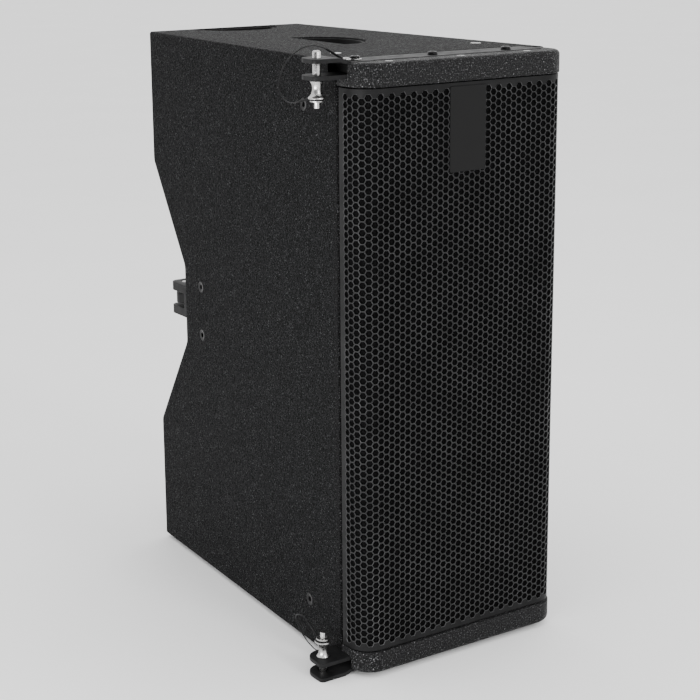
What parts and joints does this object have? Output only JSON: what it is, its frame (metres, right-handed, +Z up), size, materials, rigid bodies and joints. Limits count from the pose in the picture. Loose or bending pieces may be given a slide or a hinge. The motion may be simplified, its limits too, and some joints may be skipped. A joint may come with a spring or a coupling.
{
  "type": "line array speaker",
  "caption": "Hourglass wedge cabinet for a hung line array, with a wrapped perforated grille, hand recesses, fork and tongue rigging at both ends, tethered quick release pins and a splay arm.",
  "frame": {"origin": "on the bottom end face, on the centre plane, 120 mm behind the front of the cabinet", "axes": "+Z up along the cabinet's length from the bottom end face to the top one, +Y to the rear, front grille towards -Y, the forks on the -X side"},
  "size_m": [0.2925, 0.475, 0.6374],
  "materials": {
    "coated_wood": "black textured coating on plywood",
    "coated_cap": "coarse black textured coating",
    "bare_wood": "black stained plywood",
    "moulded_plastic": "matte moulded black",
    "basket_metal": "satin black paint",
    "surround_rubber": "soft matte black",
    "cone_paper": "coated black pulp",
    "rigging_steel": "satin black powder coat",
    "pin_chrome": "polished",
    "button_steel": "turned bright steel",
    "eyelet_steel": "zinc plated",
    "wire_steel": "stranded steel wire",
    "black_screw": "black oxide",
    "plate_metal": "fine black powder coat",
    "grille_metal": "black powder coat, slightly glossy",
    "open_foam": "open cell black foam",
    "label_metal": "blank brushed black plate",
    "circuit_board": "green solder mask"
  },
  "bodies": {
    "cabinet": {"side_panel_left": "coated_wood", "side_panel_right": "coated_wood", "end_panel_top": "coated_wood", "end_panel_bottom": "coated_wood", "rear_panel_top": "coated_wood", "diagonal_panel_top": "coated_wood", "waist_panel": "coated_wood", "diagonal_panel_bottom": "coated_wood", "rear_panel_bottom": "coated_wood", "front_cap_top": "coated_cap", "front_cap_bottom": "coated_cap", "front_baffle": "bare_wood", "hand_cup_top_middle": "moulded_plastic", "hand_cup_top_rear": "moulded_plastic", "woofer_frame_top": "basket_metal", "woofer_surround_top": "surround_rubber", "front_fork_top": "rigging_steel", "lanyard_eyelet_top": "eyelet_steel", "lanyard_top": "wire_steel", "bar_screw_top_1": "black_screw", "bar_screw_top_2": "black_screw", "bar_screw_top_3": "black_screw", "hand_cup_bottom_middle": "moulded_plastic", "hand_cup_bottom_rear": "moulded_plastic", "woofer_frame_bottom": "basket_metal", "woofer_surround_bottom": "surround_rubber", "front_fork_bottom": "rigging_steel", "lanyard_eyelet_bottom": "eyelet_steel", "lanyard_bottom": "wire_steel", "bar_screw_bottom_1": "black_screw", "bar_screw_bottom_2": "black_screw", "bar_screw_bottom_3": "black_screw", "speaker_socket_left": "moulded_plastic", "speaker_socket_right": "moulded_plastic", "connector_plate": "plate_metal", "grille": "grille_metal", "grille_foam": "open_foam", "label_plate": "label_metal", "waveguide": "moulded_plastic", "compression_driver": "basket_metal", "crossover_board": "circuit_board", "side_screw_front_top": "black_screw", "side_screw_front_bottom": "black_screw", "side_screw_rear_top": "black_screw", "side_screw_rear_bottom": "black_screw", "rear_fork_left": "rigging_steel", "rear_fork_right": "rigging_steel", "rear_pivot_pin": "eyelet_steel", "waist_bracket": "rigging_steel"},
    "front_pin_top": {"quick_release_pin_top": "pin_chrome"},
    "front_button_top": {"pin_button_top": "button_steel"},
    "front_pin_bottom": {"quick_release_pin_bottom": "pin_chrome"},
    "front_button_bottom": {"pin_button_bottom": "button_steel"},
    "rear_pin": {"quick_release_pin_rear": "pin_chrome"},
    "rear_button": {"pin_button_rear": "button_steel"},
    "link_top": {"front_link_top": "rigging_steel"},
    "link_bottom": {"front_link_bottom": "rigging_steel"},
    "splay_arm": {"rear_arm": "rigging_steel"},
    "cone_top": {"woofer_cone_top": "cone_paper"},
    "cone_bottom": {"woofer_cone_bottom": "cone_paper"}
  },
  "joints": [
    {"name": "front_pin_top_slide", "type": "slide", "parent": "cabinet", "child": "front_pin_top", "axis": [0, 0, -1], "range_m": [0, 0.028]},
    {"name": "front_button_top_press", "type": "slide", "parent": "front_pin_top", "child": "front_button_top", "axis": [0, 0, 1], "range_m": [0, 0.003], "stiffness_N_per_m": 300, "springref_m": -0.002},
    {"name": "front_pin_bottom_slide", "type": "slide", "parent": "cabinet", "child": "front_pin_bottom", "axis": [0, 0, 1], "range_m": [0, 0.021]},
    {"name": "front_button_bottom_press", "type": "slide", "parent": "front_pin_bottom", "child": "front_button_bottom", "axis": [0, 0, -1], "range_m": [0, 0.003], "stiffness_N_per_m": 300, "springref_m": -0.002},
    {"name": "rear_pin_slide", "type": "slide", "parent": "cabinet", "child": "rear_pin", "axis": [0, 0, -1], "range_m": [0, 0.0412]},
    {"name": "rear_button_press", "type": "slide", "parent": "rear_pin", "child": "rear_button", "axis": [0, 0, 1], "range_m": [0, 0.003], "stiffness_N_per_m": 300, "springref_m": -0.002},
    {"name": "link_top_slide", "type": "slide", "parent": "cabinet", "child": "link_top", "axis": [1, 0, 0], "range_m": [0, 0.0365]},
    {"name": "link_bottom_slide", "type": "slide", "parent": "cabinet", "child": "link_bottom", "axis": [1, 0, 0], "range_m": [0, 0.0365]},
    {"name": "splay_arm_pivot", "type": "hinge", "parent": "cabinet", "child": "splay_arm", "pos_m": [-0.0865, 0.309, 0.31], "axis": [0, 0, 1], "range_deg": [0, 180]},
    {"name": "cone_top_travel", "type": "slide", "parent": "cabinet", "child": "cone_top", "axis": [0, -1, 0], "range_m": [-0.005, 0.005], "stiffness_N_per_m": 1500},
    {"name": "cone_bottom_travel", "type": "slide", "parent": "cabinet", "child": "cone_bottom", "axis": [0, -1, 0], "range_m": [-0.005, 0.005], "stiffness_N_per_m": 1500}
  ]
}
